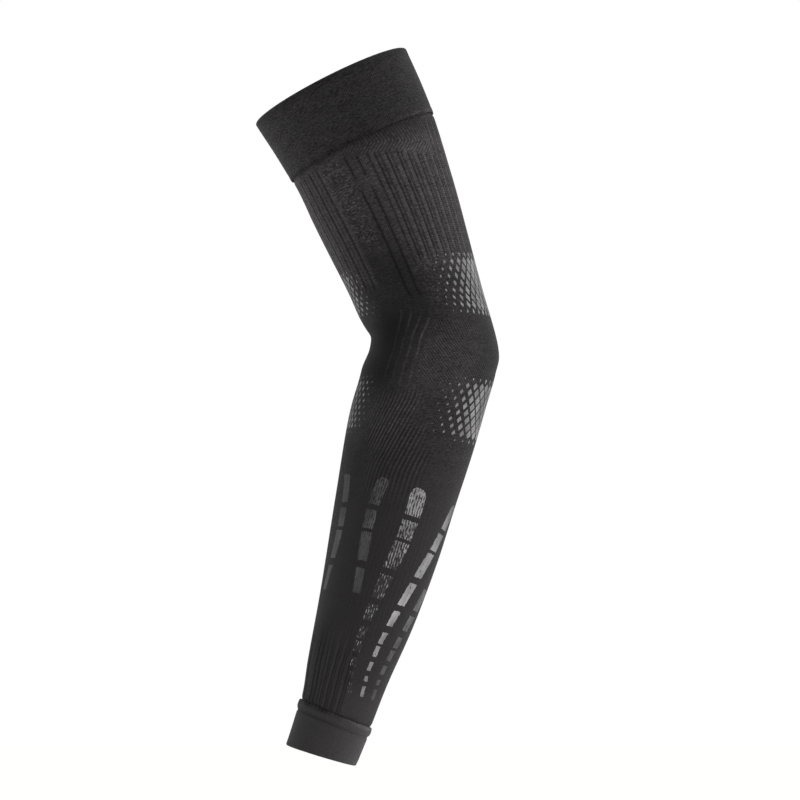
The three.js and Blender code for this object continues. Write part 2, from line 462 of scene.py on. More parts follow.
@dataclass
class PrintDesign:
    """The print: columns of dashes that narrow to the wrist, and bands of graded lozenges."""

    form: ArmForm
    dash_rows: tuple[DashRow, ...] = (
        DashRow(254.9, 17.1, 10.3),
        DashRow(274.8, 11.2, 9.7),
        DashRow(288.2, 17.1, 9.4),
        DashRow(309.2, 14.7, 7.4),
        DashRow(327.9, 9.3, 6.0),
        DashRow(341.6, 6.8, 4.5),
        DashRow(350.4, 6.4, 4.0),
        DashRow(359.8, 5.5, 3.5),
        DashRow(368.4, 3.1, 2.9),
        DashRow(374.3, 6.2, 2.9),
    )
    dash_columns: tuple[DashColumn, ...] = (
        DashColumn((146, 149, 164, 164), (0, 4), 0.64, False, (0.06, 0.1), (1.0, 1.0)),
        DashColumn((107, 110, 104, 104), (0, 4), 0.7, True, (0.085, 0.06), (0.62, 1.0)),
        DashColumn((69, 76.5, 87.5, 80), (0, 10), 1.0, True, (0.46, 0.44), (0.66, 0.26)),
        DashColumn((17, 39.5, 60, 60), (0, 10), 0.8, True, (0.22, 0.55), (0.95, 0.95)),
        DashColumn((-6, 9, 33, 38), (3, 10), 1.1, False, (0.1, 0.17), (1.0, 0.9)),
    )
    column_stations: tuple[float, float, float, float] = (264.0, 300.0, 345.0, 378.0)
    column_margin: float = 1.5
    margin: float = 6.0
    row_lead: float = 13.5
    lead_degrees: float = 110.0
    lead_middle: float = 0.3
    lead_length: float = 90.0
    wear_and_light_rows: tuple[int, int] = (0, 4)
    fading_rows: tuple[int, int] = (5, 9)
    wrist_fade: float = 0.45
    lozenge_rows: tuple[tuple[float, float], ...] = ((117.0, 149.0), (190.0, 224.0))
    lozenge_fade: float = 9.0
    lozenge_least: float = 0.01
    rear_lozenges: tuple[float, float] = (20.0, 88.0)
    front_lozenges: tuple[float, float] = (128.0, 168.0)
    front_size: float = 0.85
    # The lozenges are painted paler on the rear side of this angle and darker on the front: painted light
    # and shade.
    lighting_turn: float = 100.0
    lozenge_light_and_shade: tuple[float, float] = (0.34, 0.22)
    lozenge_hold: float = 0.95

    @property
    def span(self) -> tuple[float, float]:
        """Gives the lengths along the sleeve between which dashes are printed."""
        return self.dash_rows[0].start - self.margin, self.dash_rows[-1].end + self.margin

    def past_rows(self, along: np.ndarray, first: int, last: int) -> np.ndarray:
        """Rises from 0 at the start of one row of dashes to 1 at the start of another."""
        return smoothstep(self.dash_rows[first].start, self.dash_rows[last].start, along)

    def masks(self, along: np.ndarray, degrees: np.ndarray) -> dict[str, np.ndarray]:
        """Works out where each point of the tube lies in the print.

        Args:
            along: Lengths along the sleeve, in mm.
            degrees: Angles round the arm, from 0 to 180 on either side.

        Returns:
            The masks that the printed finish reads.
        """
        start, end = self.span
        lead = self.row_lead * (np.clip(1 - degrees / self.lead_degrees, 0, 1) - self.lead_middle)
        row_along = along - lead * np.clip((end - self.margin - along) / self.lead_length, 0, 1)
        edge = np.full(np.broadcast(along, degrees).shape, FAR_OUTSIDE)
        tone, hold = np.zeros_like(edge), np.zeros_like(edge)
        # This share grades the ink's hold, which is wear, and its tone, which is painted light and
        # reflection.
        worn = self.past_rows(along, *self.wear_and_light_rows)
        fade = 1 - self.wrist_fade * self.past_rows(along, *self.fading_rows)
        for column in self.dash_columns:
            outside = self.outside_column(column, row_along, degrees)
            nearer = outside < edge
            edge = np.where(nearer, outside, edge)
            tone = np.where(nearer, column.tone[0] + np.diff(column.tone) * worn, tone)
            hold = np.where(nearer, column.hold[0] + np.diff(column.hold) * worn, hold)
        rear = 1 - smoothstep(*self.rear_lozenges, degrees)
        front = self.front_size * smoothstep(*self.front_lozenges, degrees)
        bands = sum(within(along, low, high, self.lozenge_fade) for low, high in self.lozenge_rows)
        in_band = bands > self.lozenge_least
        # Painted light on the rear lozenges and painted shade on the front ones.
        lozenge_lighting = np.where(degrees < self.lighting_turn, *self.lozenge_light_and_shade)
        return {
            "dash_edge": edge,
            "dash_row": (row_along - start) / (end - start),
            "lozenge_size": np.clip(bands, 0, 1) * np.maximum(rear, front),
            "ink_tone": np.where(in_band, lozenge_lighting, tone * fade),
            "ink_hold": np.where(in_band, self.lozenge_hold, hold),
        }

    def outside_column(self, column: DashColumn, along: np.ndarray, degrees: np.ndarray) -> np.ndarray:
        """Gives how far points lie outside a column of dashes, in mm.

        Args:
            column: The column.
            along: Lengths along the print, in mm.
            degrees: Angles round the arm.

        Returns:
            The distance from the column's edge, negative inside it.
        """
        curve = np.polyfit(self.column_stations, column.degrees, 3)
        arc = np.radians(degrees - np.polyval(curve, along)) * self.form.radius(along)
        marks = [row.start + row.length / 2 for row in self.dash_rows]
        half_width = np.interp(along, marks, [column.width * row.width / 2 for row in self.dash_rows])
        first = self.dash_rows[0]
        if column.rounded:
            radius = column.width * first.width / 2
            from_round = np.clip((first.start + radius - along) / radius, 0, 1)
            half_width = half_width * np.sqrt(1 - from_round**2)
        rows = self.dash_rows[slice(*column.rows)]
        before = along < rows[0].start - self.column_margin
        after = along > rows[-1].end + self.column_margin
        return np.where(before | after, FAR_OUTSIDE, np.abs(arc) - half_width)


def linear(hex_colour: str) -> tuple[float, float, float, float]:
    """Turns an sRGB hex colour into a linear one.

    Args:
        hex_colour: The colour, such as "#ffffff".

    Returns:
        Linear red, green, blue and alpha.
    """
    values = [int(hex_colour[i : i + 2], 16) / 255 for i in (1, 3, 5)]
    red, green, blue = (v / 12.92 if v <= 0.04045 else ((v + 0.055) / 1.055) ** 2.4 for v in values)
    return red, green, blue, 1.0


def add_node(
    tree: Tree,
    kind: str,
    inputs: dict[int | str, object] | None = None,
    output: int | str = 0,
    **settings: object,
) -> Socket:
    """Adds a node, with its settings, values and links.

    Args:
        tree: The material's node tree.
        kind: The node's type, without its ShaderNode prefix.
        inputs: The value of each input, or the socket that it is linked to.
        output: The output that is handed on.
        settings: The node's own properties.

    Returns:
        The chosen output.
    """
    node = tree.nodes.new(f"ShaderNode{kind}")
    for name, value in settings.items():
        setattr(node, name, value)
    for key, value in (inputs or {}).items():
        if isinstance(value, Socket):
            tree.links.new(value, node.inputs[key])
        else:
            node.inputs[key].default_value = value
    return node.outputs[output]


def from_middle(tree: Tree, place: Socket) -> Socket:
    """Measures how far a place lies from the middle of its repeat.

    Args:
        tree: The material's node tree.
        place: The place, counted in repeats.

    Returns:
        The distance, from 0 in the middle to a half at either end.
    """
    share = add_node(tree, "Math", {0: place}, operation="FRACT")
    centred = add_node(tree, "Math", {0: share, 1: 0.5}, operation="SUBTRACT")
    return add_node(tree, "Math", {0: centred}, operation="ABSOLUTE")


@dataclass(frozen=True)
class ClothPlaces:
    """A finish's node tree, and the sockets that say where each point lies on the cloth.

    Turn is in degrees round the arm, across in millimetres round it, and run in millimetres
    along the cloth.
    """

    tree: Tree
    turn: Socket
    across: Socket
    run: Socket


@dataclass(frozen=True, kw_only=True)
class KnitFinish:
    """Matt black nylon and elastane jersey, with a soft sheen where it turns away.

    The real loops are about 0.7 mm wide and 0.5 mm high. They are drawn coarser, to show. Sizes
    are in millimetres.
    """

    name: str
    yarn: str
    # shade is the colour of the painted shade between the ribs and the loops.
    shade: str
    girth: float
    length: float
    wale_pitch: float = 1.2
    course_pitch: float = 1.0
    leg_wave: float = 0.3
    leg_height: float = 0.7
    leg_fall: float = 0.8
    grain_size: float = 1.1
    grain_spread: float = 2.4
    slub_size: float = 5.0
    slub_spread: float = 0.9
    grain_narrowing: float = 0.5
    loop_middle: float = 0.55
    loop_light: float = 0.4
    cloth_light: float = 0.32
    relief: float = 0.14
    roughness: float = 0.88
    ior: float = 1.5
    specular: float = 0.1
    sheen: float = 0.05
    sheen_roughness: float = 0.45

    def make(self) -> bpy.types.Material:
        """Builds the material.

        Returns:
            The finished material.
        """
        material = bpy.data.materials.new(self.name)
        material.use_nodes = True
        tree = material.node_tree
        tree.nodes.clear()
        height, colour, roughness = self.surface(self.places(tree))
        bump = add_node(tree, "Bump", {"Height": height, "Distance": self.relief * MM, "Strength": 1.0})
        shader = add_node(
            tree,
            "BsdfPrincipled",
            {
                "Base Color": colour,
                "Roughness": roughness,
                "Normal": bump,
                "IOR": self.ior,
                "Specular IOR Level": self.specular,
                "Sheen Weight": self.sheen,
                "Sheen Roughness": self.sheen_roughness,
            },
        )
        output = tree.nodes.new("ShaderNodeOutputMaterial")
        tree.links.new(shader, output.inputs["Surface"])
        return material

    def places(self, tree: Tree) -> ClothPlaces:
        """Measures the cloth.

        Args:
            tree: The material's node tree.

        Returns:
            The tree, with where each point lies round the arm and along the cloth.
        """
        knit_map = add_node(tree, "UVMap", output="UV", uv_map=KNIT_MAP)
        sizes = (360.0, self.length, 0)
        measured = add_node(tree, "VectorMath", {0: knit_map, 1: sizes}, operation="MULTIPLY")
        turn = add_node(tree, "SeparateXYZ", {0: measured}, output="X")
        across = add_node(tree, "Math", {0: turn, 1: self.girth / 360}, operation="MULTIPLY")
        return ClothPlaces(tree, turn, across, turn.node.outputs["Y"])

    def loops(self, cloth: ClothPlaces) -> Socket:
        """Draws the slanted legs of the jersey's loops.

        Args:
            cloth: The places on the cloth.

        Returns:
            The height of the loops, from 0 to 1.
        """
        tree = cloth.tree
        wales = round(self.girth / self.wale_pitch)
        wale = add_node(tree, "Math", {0: cloth.turn, 1: wales / 360}, operation="MULTIPLY")
        course = add_node(tree, "Math", {0: cloth.run, 1: 1 / self.course_pitch}, operation="MULTIPLY")
        lean = from_middle(tree, wale)
        slanted = add_node(tree, "Math", {0: course, 1: lean}, operation="ADD")
        angle = add_node(tree, "Math", {0: slanted, 1: 2 * math.pi}, operation="MULTIPLY")
        wave = add_node(tree, "Math", {0: angle}, operation="SINE")
        waved = {0: wave, 1: self.leg_wave, 2: self.leg_height}
        leg = add_node(tree, "Math", waved, operation="MULTIPLY_ADD")
        falling = {0: lean, 1: -self.leg_fall, 2: leg}
        return add_node(tree, "Math", falling, operation="MULTIPLY_ADD", use_clamp=True)

    def speckle(self, cloth: ClothPlaces) -> Socket:
        """Draws the grain of stitches that catch more or less light, and the yarn's slubs.

        Args:
            cloth: The places on the cloth.

        Returns:
            The tone, which is 1 on average. Its grain is drawn out along the courses.
        """
        tree = cloth.tree
        narrow = add_node(tree, "Math", {0: cloth.across, 1: self.grain_narrowing}, operation="MULTIPLY")
        place = add_node(tree, "CombineXYZ", {0: narrow, 1: cloth.run})
        amount = add_node(tree, "Attribute", output="Fac", attribute_name="grain")
        tone = 1.0
        for size, spread in ((self.grain_size, self.grain_spread), (self.slub_size, self.slub_spread)):
            noise = add_node(tree, "TexNoise", {"Vector": place, "Scale": 1 / size, "Detail": 2.0})
            uneven = add_node(tree, "Math", {0: noise, 1: 0.5}, operation="SUBTRACT")
            grained = add_node(tree, "Math", {0: uneven, 1: amount}, operation="MULTIPLY")
            tone = add_node(tree, "Math", {0: grained, 1: spread, 2: tone}, operation="MULTIPLY_ADD")
        return tone

    def tone(self, cloth: ClothPlaces, height: Socket) -> Socket:
        """Mixes the painted shade between the ribs and the loops with the yarn on their crests.

        Args:
            cloth: The places on the cloth.
            height: Height of the knit.

        Returns:
            The colour of the bare cloth.
        """
        tree = cloth.tree
        # This mask holds painted light and shade, which scales how much of the yarn shows.
        painted_light_and_shade = add_node(tree, "Attribute", output="Fac", attribute_name="painted_light_and_shade")
        grain = add_node(tree, "Attribute", output="Fac", attribute_name="grain")
        uneven = add_node(tree, "Math", {0: height, 1: self.loop_middle}, operation="SUBTRACT")
        drawn = add_node(tree, "Math", {0: uneven, 1: grain}, operation="MULTIPLY")
        lights = {0: drawn, 1: self.loop_light, 2: self.cloth_light}
        lit = add_node(tree, "Math", lights, operation="MULTIPLY_ADD")
        raised = add_node(tree, "Math", {0: painted_light_and_shade, 1: lit}, operation="MULTIPLY")
        speckled = {0: raised, 1: self.speckle(cloth)}
        share = add_node(tree, "Math", speckled, operation="MULTIPLY", use_clamp=True)
        mixed = {"Factor": share, 6: linear(self.shade), 7: linear(self.yarn)}
        return add_node(tree, "Mix", mixed, output=2, data_type="RGBA")

    def surface(self, cloth: ClothPlaces) -> tuple[Socket, Socket, Socket | float]:
        """Draws the plain jersey.

        Args:
            cloth: The places on the cloth.

        Returns:
            The height, the colour and the roughness.
        """
        loops = self.loops(cloth)
        return loops, self.tone(cloth, loops), self.roughness


@dataclass(frozen=True)
class RaisedLines:
    """Fine raised lines: their pitch, half their width as a share of it, and their heights.

    Base is the height between the lines. Top is the height of the lines, where it is the same
    all along them.
    """

    pitch: float
    half_width: float
    base: float
    top: float | None = None
    phase: float = 0.13


# Scales of noise are in parts to the millimetre, or to the degree for the elbow's ridges.
RIDGE_NOISE = {"Scale": 0.12, "Detail": 1.0}
RIDGE_RISE = {"From Min": 0.4, "From Max": 0.6, "To Min": 0.6, "To Max": 1.8}
TUCK_NOISE = {"Scale": 0.55, "Detail": 1.0, "Distortion": 0.8}
TUCK_RISE = {"From Max": 0.07, "To Min": 1.4, "To Max": 0.25}
INK_NOISE = {"Scale": 1.25, "Detail": 2.0}
INK_COVER = {"From Min": 1.65, "From Max": 1.85, "To Min": 0.04}
INK_PATCHES = {"Scale": 0.16, "Detail": 1.0}
INK_STRENGTH = {"From Min": 0.3, "From Max": 0.7, "To Min": 0.55, "To Max": 1.45}


@dataclass(frozen=True, kw_only=True)
class PrintedRibFinish(KnitFinish):
    """The tube's rib knit: jersey with tuck and twill panels and a silver-grey rubber print.

    The print lies on the crests and breaks over the gaps between the wales. The fan, the ridges
    and the streaks have their pitch in degrees, and the other patterns in millimetres.
    """

    design: PrintDesign
    ink_colour: str = "#c9c8ca"
    ink_roughness: float = 0.5
    ragged: float = 1.5
    lozenge_width: float = 6.0
    lozenge_height: float = 8.0
    lozenge_reach: float = 0.42
    fan: RaisedLines = RaisedLines(3.46, 0.32, 0.15, 1.4)
    ridges: RaisedLines = RaisedLines(8.18, 0.2, 0.4)
    ridge_drawing: float = 0.4
    chevrons: RaisedLines = RaisedLines(1.9, 0.45, 0.17, 0.63)
    float_narrowing: float = 0.5
    twill_pitch: float = 2.0
    twill_height: float = 0.55
    twill_waves: tuple[tuple[str, float], ...] = (("ADD", 0.3), ("SUBTRACT", 0.12))
    streaks: RaisedLines = RaisedLines(2.0, 0.5, 0.0, 0.4)
    streak_drawing: float = 0.3
    streak_noise: float = 2.0

    def surface(self, cloth: ClothPlaces) -> tuple[Socket, Socket, Socket | float]:
        """Draws the knits and the print over them.

        Args:
            cloth: The places on the cloth.

        Returns:
            The height, the colour and the roughness.
        """
        tree = cloth.tree
        lean = add_node(tree, "Attribute", output="Fac", attribute_name="chevron_lean")
        leaning = add_node(tree, "Math", {0: cloth.across, 1: lean}, operation="ADD")
        patterns = {
            FineKnit.TUCK: self.tuck(cloth),
            FineKnit.TWILL: self.twill(cloth),
            FineKnit.FAN: self.lines(tree, cloth.turn, self.fan),
            FineKnit.RIDGE: self.lines(tree, cloth.turn, self.ridges, self.ridge_tops(cloth)),
            FineKnit.CHEVRON: self.lines(tree, leaning, self.chevrons),
        }
        height = self.loops(cloth)
        for knit, pattern in patterns.items():
            mask = add_node(tree, "Attribute", output="Fac", attribute_name=knit.value)
            height = add_node(tree, "Mix", {"Factor": mask, 2: height, 3: pattern}, data_type="FLOAT")
        ink = self.ink(cloth)
        inked = {"Factor": ink, 6: self.tone(cloth, height), 7: linear(self.ink_colour)}
        colour = add_node(tree, "Mix", inked, output=2, data_type="RGBA")
        matt = {"Factor": ink, 2: self.roughness, 3: self.ink_roughness}
        roughness = add_node(tree, "Mix", matt, data_type="FLOAT")
        return height, colour, roughness

    def lines(self, tree: Tree, place: Socket, rib: RaisedLines, top: Socket | None = None) -> Socket:
        """Draws raised lines along the wales.

        Args:
            tree: The material's node tree.
            place: Place across the lines.
            rib: The lines' sizes.
            top: Height of the lines, where it changes along them.

        Returns:
            The height.
        """
        phased = {0: place, 1: 1 / rib.pitch, 2: rib.phase}
        away = from_middle(tree, add_node(tree, "Math", phased, operation="MULTIPLY_ADD"))
        highest = rib.top if top is None else top
        rise = {"Value": away, "From Max": rib.half_width, "To Min": highest, "To Max": rib.base}
        return add_node(tree, "MapRange", rise, interpolation_type="SMOOTHSTEP")

    def ridge_tops(self, cloth: ClothPlaces) -> Socket:
        """Lets the elbow's ridges rise and sink along their length.

        Args:
            cloth: The places on the cloth.

        Returns:
            The height of the ridges.
        """
        tree = cloth.tree
        slow = add_node(tree, "Math", {0: cloth.run, 1: self.ridge_drawing}, operation="MULTIPLY")
        place = add_node(tree, "CombineXYZ", {0: cloth.turn, 1: slow})
        noise = add_node(tree, "TexNoise", {"Vector": place, **RIDGE_NOISE})
        return add_node(tree, "MapRange", {"Value": noise, **RIDGE_RISE})

    def tuck(self, cloth: ClothPlaces) -> Socket:
        """Draws the short crosswise floats of the tuck panel.

        Args:
            cloth: The places on the cloth.

        Returns:
            The height of the floats.
        """
        tree = cloth.tree
        narrow = add_node(tree, "Math", {0: cloth.across, 1: self.float_narrowing}, operation="MULTIPLY")
        place = add_node(tree, "CombineXYZ", {0: narrow, 1: cloth.run})
        noise = add_node(tree, "TexNoise", {"Vector": place, **TUCK_NOISE})
        uneven = add_node(tree, "Math", {0: noise, 1: 0.5}, operation="SUBTRACT")
        away = add_node(tree, "Math", {0: uneven}, operation="ABSOLUTE")
        return add_node(tree, "MapRange", {"Value": away, **TUCK_RISE})

    def twill(self, cloth: ClothPlaces) -> Socket:
        """Draws the fine slanted twill over the elbow, crossed into a waffle.

        Args:
            cloth: The places on the cloth.

        Returns:
            The height of the waffle.
        """
        tree = cloth.tree
        pace = 2 * math.pi / self.twill_pitch
        height = self.twill_height
        for operation, share in self.twill_waves:
            slanted = add_node(tree, "Math", {0: cloth.across, 1: cloth.run}, operation=operation)
            angle = add_node(tree, "Math", {0: slanted, 1: pace}, operation="MULTIPLY")
            wave = add_node(tree, "Math", {0: angle}, operation="SINE")
            height = add_node(tree, "Math", {0: wave, 1: share, 2: height}, operation="MULTIPLY_ADD")
        return height

    def ink(self, cloth: ClothPlaces) -> Socket:
        """Lays the dashes and the lozenges on the knit, worn off in streaks between the wales.

        Args:
            cloth: The places on the cloth.

        Returns:
            How much of the cloth the ink covers, from 0 to 1.
        """
        tree = cloth.tree
        slow = add_node(tree, "Math", {0: cloth.run, 1: self.streak_drawing}, operation="MULTIPLY")
        place = add_node(tree, "CombineXYZ", {0: cloth.across, 1: slow})
        noise = add_node(tree, "TexNoise", {"Vector": place, **INK_NOISE})
        marks = {0: self.dashes(tree, noise), 1: self.lozenges(tree)}
        printed = add_node(tree, "Math", marks, operation="MAXIMUM")
        tone = add_node(tree, "Attribute", output="Fac", attribute_name="ink_tone")
        hold = add_node(tree, "Attribute", output="Fac", attribute_name="ink_hold")
        streaked = {0: noise, 1: self.streak_noise, 2: self.lines(tree, cloth.turn, self.streaks)}
        streaks = add_node(tree, "Math", streaked, operation="MULTIPLY_ADD")
        held = add_node(tree, "Math", {0: streaks, 1: hold}, operation="ADD")
        cover = add_node(tree, "MapRange", {"Value": held, **INK_COVER})
        thick = add_node(tree, "TexNoise", {"Vector": place, **INK_PATCHES})
        strength = add_node(tree, "MapRange", {"Value": thick, **INK_STRENGTH})
        laid = add_node(tree, "Math", {0: cover, 1: tone}, operation="MULTIPLY")
        uneven = add_node(tree, "Math", {0: laid, 1: strength}, operation="MULTIPLY")
        return add_node(tree, "Math", {0: uneven, 1: printed}, operation="MULTIPLY", use_clamp=True)

    def dashes(self, tree: Tree, noise: Socket) -> Socket:
        """Cuts the columns of the print into dashes with ragged edges.

        Args:
            tree: The material's node tree.
            noise: The unevenness of the ink, about 0.5.

        Returns:
            1 on a dash and 0 elsewhere.
        """
        edge = add_node(tree, "Attribute", output="Fac", attribute_name="dash_edge")
        frayed = {0: noise, 1: self.ragged, 2: -self.ragged / 2}
        ragged = add_node(tree, "Math", frayed, operation="MULTIPLY_ADD")
        in_column = add_node(tree, "Math", {0: edge, 1: ragged}, operation="LESS_THAN")
        start, end = self.design.span
        row = add_node(tree, "Attribute", output="Fac", attribute_name="dash_row")
        uneven = add_node(tree, "Math", {0: ragged, 1: 1 / (end - start), 2: row}, operation="MULTIPLY_ADD")
        ramp = add_node(tree, "ValToRGB", {"Fac": uneven}, output="Color")
        stops = ramp.node.color_ramp
        stops.interpolation = "CONSTANT"
        stops.elements.remove(stops.elements[1])
        for dash in self.design.dash_rows:
            for place, on in ((dash.start, 1.0), (dash.end, 0.0)):
                stop = stops.elements.new((place - start) / (end - start))
                stop.color = (on, on, on, 1.0)
        return add_node(tree, "Math", {0: in_column, 1: ramp}, operation="MULTIPLY")

    def lozenges(self, tree: Tree) -> Socket:
        """Draws the lattice of lozenges, each as large as its mask says.

        Args:
            tree: The material's node tree.

        Returns:
            1 on a lozenge and 0 elsewhere.
        """
        knit_map = add_node(tree, "UVMap", output="UV", uv_map=KNIT_MAP)
        counts = (round(self.girth / self.lozenge_width), round(self.length / self.lozenge_height), 0)
        counted = add_node(tree, "VectorMath", {0: knit_map, 1: counts}, operation="MULTIPLY")
        x = add_node(tree, "SeparateXYZ", {0: counted}, output="X")
        sides = {}
        for side, operation in enumerate(("ADD", "SUBTRACT")):
            slanted = add_node(tree, "Math", {0: x, 1: x.node.outputs["Y"]}, operation=operation)
            sides[side] = from_middle(tree, slanted)
        reach = add_node(tree, "Math", sides, operation="MAXIMUM")
        size = add_node(tree, "Attribute", output="Fac", attribute_name="lozenge_size")
        limit = add_node(tree, "Math", {0: size, 1: self.lozenge_reach}, operation="MULTIPLY")
        return add_node(tree, "Math", {0: reach, 1: limit}, operation="LESS_THAN")


@dataclass(frozen=True)
class PaintFinish:
    """Matt pale emulsion paint, rolled on: an even tone without gloss."""

    name: str
    colour: str
    roughness: float = 0.9

    def make(self) -> bpy.types.Material:
        """Builds the material.

        Returns:
            The finished material.
        """
        material = bpy.data.materials.new(self.name)
        material.use_nodes = True
        shader = material.node_tree.nodes["Principled BSDF"]
        shader.inputs["Base Color"].default_value = linear(self.colour)
        shader.inputs["Roughness"].default_value = self.roughness
        return material


def finish_piece(
    piece: bpy.types.Object, finish: KnitFinish, node: str
) -> None:
    """Dresses a piece of cloth and rides it on the sleeve's body in place of its plain solid.

    Args:
        piece: The finished mesh.
        finish: Its only material.
        node: The frame's node that it dresses.
    """
    piece.data.polygons.foreach_set("use_smooth", np.ones(len(piece.data.polygons), dtype=bool))
    piece.data.materials.clear()
    piece.data.materials.append(finish.make())
    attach(piece, BODY)
    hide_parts(node)
    LOG.info("%s: %d faces", piece.name, len(piece.data.polygons))


@dataclass(frozen=True)
class ChevronStrip:
    """The chevrons under the upper band, whose tips lie on a slanted line round the arm."""

    tip_along: float = 47.3
    tip_degrees: float = 69.5
    tip_slope: float = 0.24
    leans: tuple[float, float] = (0.24, -0.96)
    below_tip: float = 6.5
    fade: float = 2.0
    degrees: tuple[float, float] = (33.0, 104.0)
    fade_degrees: float = 6.0

    def masks(self, along: np.ndarray, wales: np.ndarray, seam: float) -> dict[str, np.ndarray]:
        """Works out where the chevrons lie and how they lean.

        Args:
            along: Lengths along the sleeve, in mm.
            wales: Angles of the wales, from 0 to 360.
            seam: Length along the sleeve where the strip starts.

        Returns:
            The mask of the chevrons, and their lean in mm.
        """
        folded = fold_angle(wales)
        tip = self.tip_along + self.tip_slope * (self.tip_degrees - folded)
        lean = np.where(along < tip, *self.leans) * (along - tip)
        strip = within(along, seam, tip + self.below_tip, self.fade)
        return {
            FineKnit.CHEVRON.value: strip * within(folded, *self.degrees, self.fade_degrees),
            "chevron_lean": lean * np.sign(180 - wales),
        }


@dataclass
class ArmTube:
    """The knitted tube: ribbed outside, plain inside, its ends tucked into the bands."""

    form: ArmForm
    design: PrintDesign
    chevrons: ChevronStrip = ChevronStrip()
    wall: float = 2.0
    tucked_wall: float = 1.2
    seam_lap: float = 8.0
    lap_rows: int = 3
    seam_pinch: float = 2.4
    furrow_half: float = 0.75
    drift_blur: float = 4.0
    drift_steps: int = 7
    wobble_degrees: float = 0.8
    wobble_length: float = 17.0
    wobble_phase: float = 7.0
    beat_length: float = 5.0
    beat_phase: float = 3.0
    row: float = 1.3
    column: float = 1.5
    # The furrows between the ribs are painted darker than the crests: painted shade.
    crest_tone: float = 0.65
    furrow_shade: float = 0.8
    grain_loss: float = 0.75
    grain_span: tuple[float, float] = (215.0, 280.0)
    lining_columns: int = 64
    lining_rows: int = 60
    lining_crest: float = 0.5
    lining_grain: float = 0.6
    flat: tuple[float, float] = (0.205, 0.375)

    def __post_init__(self) -> None:
        """Measures where the tube's two seams and its furrows lie."""
        self.upper_seam = self.form.along("upper seam")
        self.wrist_seam = self.form.along("wrist seam")
        self.furrows = []
        for panel in RIB_PANELS:
            pitch = (panel.end - panel.start) / panel.ribs
            for rib in range(panel.ribs):
                self.furrows += [(panel.start + pitch * (rib + at), depth) for at, depth in panel.furrows]

    def rows(self) -> np.ndarray:
        """Spaces the mesh's rows, few of them where the ends are tucked in.

        Returns:
            The rows' lengths along the sleeve, in mm.
        """
        lap_in = np.linspace(self.upper_seam - self.seam_lap, self.upper_seam, self.lap_rows)[:-1]
        count = round((self.wrist_seam - self.upper_seam) / self.row)
        body = np.linspace(self.upper_seam, self.wrist_seam, count)
        lap_out = np.linspace(self.wrist_seam, self.wrist_seam + self.seam_lap, self.lap_rows)[1:]
        return np.concatenate([lap_in, body, lap_out])

    def columns(self) -> np.ndarray:
        """Spaces the mesh's columns, closest at the furrows.

        Returns:
            The columns' angles right round the arm.
        """
        marks = [0.0, 180.0]
        for degrees, _ in self.furrows:
            marks += [degrees - self.furrow_half, degrees, degrees + self.furrow_half]
        marks = np.unique(np.clip(marks, 0.0, 180.0))
        steps = np.ceil(np.diff(marks) / self.column).astype(int)
        gaps = zip(marks[:-1], marks[1:], steps, strict=True)
        near = np.concatenate([np.linspace(low, high, step, endpoint=False) for low, high, step in gaps])
        return np.concatenate([near, [180.0], 360.0 - near[::-1]])

    def swept(self, along: np.ndarray, wales: np.ndarray) -> np.ndarray:
        """Gives the angle at which each wale lies along the arm.

        Args:
            along: Lengths along the sleeve, in mm.
            wales: Angles of the wales on the upper arm, from 0 to 360.

        Returns:
            The angles at those lengths, with the wales' drift and the wavy wrist ribs.
        """
        side = np.sin(np.radians(wales))
        folded = fold_angle(wales)
        marks, drifts = zip(*WALE_DRIFT, strict=True)
        steps = np.linspace(-self.drift_blur, self.drift_blur, self.drift_steps)
        drift = np.mean([np.interp(along + step, marks, drifts) for step in steps], axis=0)
        wave = np.sin(2 * np.pi * along / self.wobble_length + folded / self.wobble_phase)
        wave = wave * np.sin(along / self.beat_length + folded / self.beat_phase)
        at_wrist = WAVY_RIBS.weight(along, folded)
        return wales + drift * side + np.sign(side) * self.wobble_degrees * at_wrist * wave

    def relief(self, along: np.ndarray, folded: np.ndarray) -> np.ndarray:
        """Gives the depth of the furrows between the ribs.

        Args:
            along: Lengths along the sleeve, in mm.
            folded: Angles of the wales, from 0 to 180 on either side.

        Returns:
            The heights over the tube's outer face, in mm.
        """
        groove = np.zeros_like(folded)
        for degrees, depth in self.furrows:
            groove = np.maximum(groove, depth * np.exp(-(((folded - degrees) / self.furrow_half) ** 2)))
        height = np.zeros(np.broadcast(along, folded).shape)
        for zone in RIB_ZONES:
            height = height - zone.weight(along, folded) * groove
        return height

    def knit_masks(self, along: np.ndarray, wales: np.ndarray) -> dict[str, np.ndarray]:
        """Works out where the fine knits lie.

        Args:
            along: Lengths along the sleeve, in mm.
            wales: Angles of the wales, from 0 to 360.

        Returns:
            The mask of each fine knit, and the lean of the chevrons in mm.
        """
        folded = fold_angle(wales)
        masks = self.chevrons.masks(along, wales, self.upper_seam)
        for knit, zones in KNIT_ZONES.items():
            masks[knit.value] = sum(zone.weight(along, folded) for zone in zones)
        return masks

    def folds(self, along: np.ndarray, folded: np.ndarray) -> np.ndarray:
        """Shapes the folds and the slight unevenness of worn cloth.

        Args:
            along: Lengths along the sleeve, in mm.
            folded: Angles round the arm, from 0 to 180 on either side.

        Returns:
            The heights over the even cloth, in mm.
        """
        height = sum(wave.height * np.sin(along / wave.along + folded / wave.degrees) for wave in WAVES)
        for fold in FOLDS.values():
            lengthwise = ((along - fold.along) / fold.length) ** 2
            round_arm = ((folded - fold.degrees) / fold.spread) ** 2
            height = height + fold.height * np.exp(-lengthwise - round_arm)
        return height

    def free(self, along: np.ndarray) -> np.ndarray:
        """Gives how far the cloth is free of the seams that pinch it, from 0 to 1."""
        from_seam = np.minimum(along - self.upper_seam, self.wrist_seam - along)
        return smoothstep(0, self.seam_pinch, from_seam)

